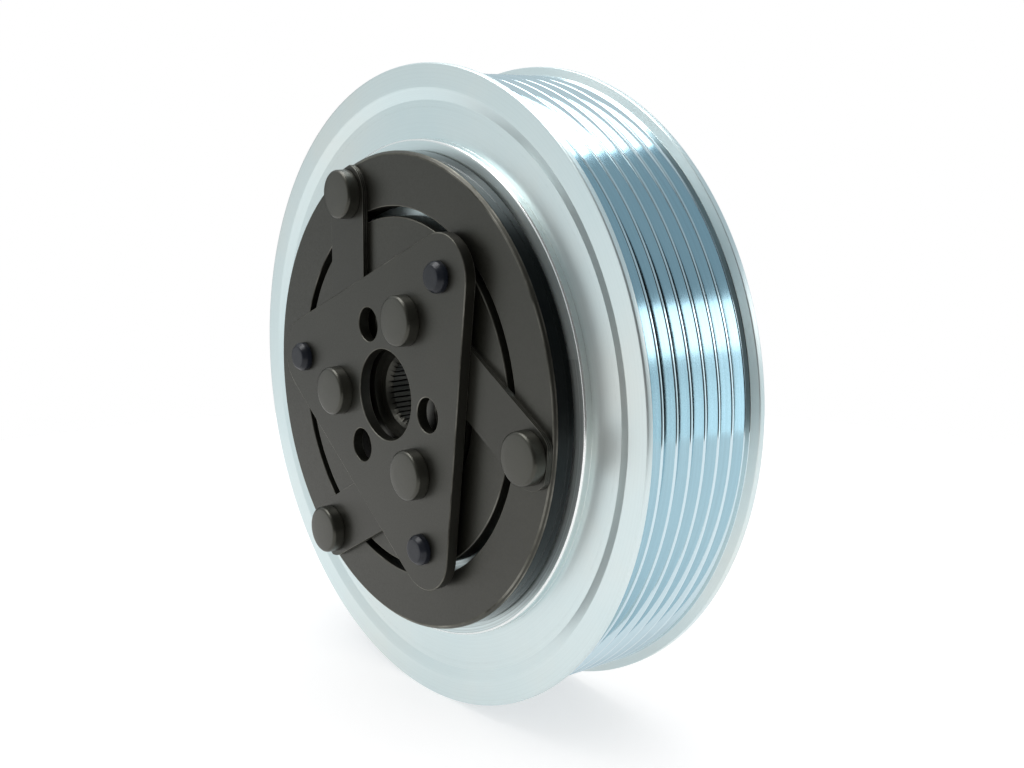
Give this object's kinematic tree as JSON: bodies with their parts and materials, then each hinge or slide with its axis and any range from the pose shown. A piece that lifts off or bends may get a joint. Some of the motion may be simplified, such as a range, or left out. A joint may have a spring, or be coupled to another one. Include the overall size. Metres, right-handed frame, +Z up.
{
  "type": "electromagnetic clutch",
  "caption": "Electromagnetic clutch with a grooved belt pulley on a bearing, a field coil in its back and a sprung armature plate on a splined hub in front.",
  "frame": {"origin": "on the axis of rotation, at the middle of the bearing's bore", "axes": "+Y along the axis of rotation, from the hub and armature at the front (-Y) to the coil's mounting plate at the rear; +Z up"},
  "size_m": [0.132, 0.0458, 0.132],
  "materials": {
    "zinc_plated_steel": "zinc plated, turned, bright with a faint blue tint",
    "bearing_steel": "ground bearing steel",
    "polished_steel": "polished",
    "cage_nylon": "moulded nylon",
    "seal_rubber": "moulded nitrile rubber",
    "spring_steel": "blackened spring steel",
    "coil_steel": "zinc phosphate",
    "bobbin_nylon": "moulded nylon",
    "enamelled_copper": "enamelled wire",
    "potting_resin": "cast epoxy",
    "grommet_rubber": "moulded rubber",
    "dark_phosphate_steel": "matt black-brown phosphate coat",
    "shim_steel": "bright strip",
    "dark_rivet_steel": "matt black-brown phosphate coat",
    "bumper_rubber": "hard blue-black rubber",
    "dark_spring_steel": "blued strip"
  },
  "bodies": {
    "stator": {"coil_shell": "coil_steel", "coil_bobbin": "bobbin_nylon", "coil_winding": "enamelled_copper", "coil_resin": "potting_resin", "coil_mounting_plate": "coil_steel", "lead_grommet": "grommet_rubber", "bearing_inner_ring": "bearing_steel"},
    "pulley": {"pulley_rim": "zinc_plated_steel", "rotor": "zinc_plated_steel", "bearing_outer_ring": "bearing_steel", "front_seal": "seal_rubber", "rear_seal": "seal_rubber", "bearing_circlip": "spring_steel"},
    "ball_set": {"front_balls": "polished_steel", "rear_balls": "polished_steel", "front_ball_cage": "cage_nylon", "rear_ball_cage": "cage_nylon"},
    "hub": {"hub": "dark_phosphate_steel", "stop_plate": "dark_phosphate_steel", "gap_shims": "shim_steel", "hub_rivet_1": "dark_rivet_steel", "hub_rivet_2": "dark_rivet_steel", "hub_rivet_3": "dark_rivet_steel", "bumper_1": "bumper_rubber", "bumper_2": "bumper_rubber", "bumper_3": "bumper_rubber", "leaf_spring_1": "dark_spring_steel", "leaf_spring_2": "dark_spring_steel", "leaf_spring_3": "dark_spring_steel"},
    "armature": {"armature_plate": "dark_phosphate_steel", "armature_rivet_1": "dark_rivet_steel", "armature_rivet_2": "dark_rivet_steel", "armature_rivet_3": "dark_rivet_steel"}
  },
  "joints": [
    {"name": "pulley_spin", "type": "hinge", "parent": "stator", "child": "pulley", "pos_m": [0, 0, 0], "axis": [0, 1, 0], "continuous": true},
    {"name": "ball_set_spin", "type": "hinge", "parent": "stator", "child": "ball_set", "pos_m": [0, 0, 0], "axis": [0, 1, 0], "continuous": true},
    {"name": "hub_spin", "type": "hinge", "parent": "stator", "child": "hub", "pos_m": [0, 0, 0], "axis": [0, 1, 0], "continuous": true},
    {"name": "armature_pull_in", "type": "slide", "parent": "hub", "child": "armature", "axis": [0, 1, 0], "range_m": [0, 0.0005], "stiffness_N_per_m": 40000, "springref_m": -0.0002, "deforming": ["leaf_spring_1", "leaf_spring_2", "leaf_spring_3"]}
  ],
  "couplings": [
    {"joint": "ball_set_spin", "follows": "pulley_spin", "ratio": 0.555}
  ]
}
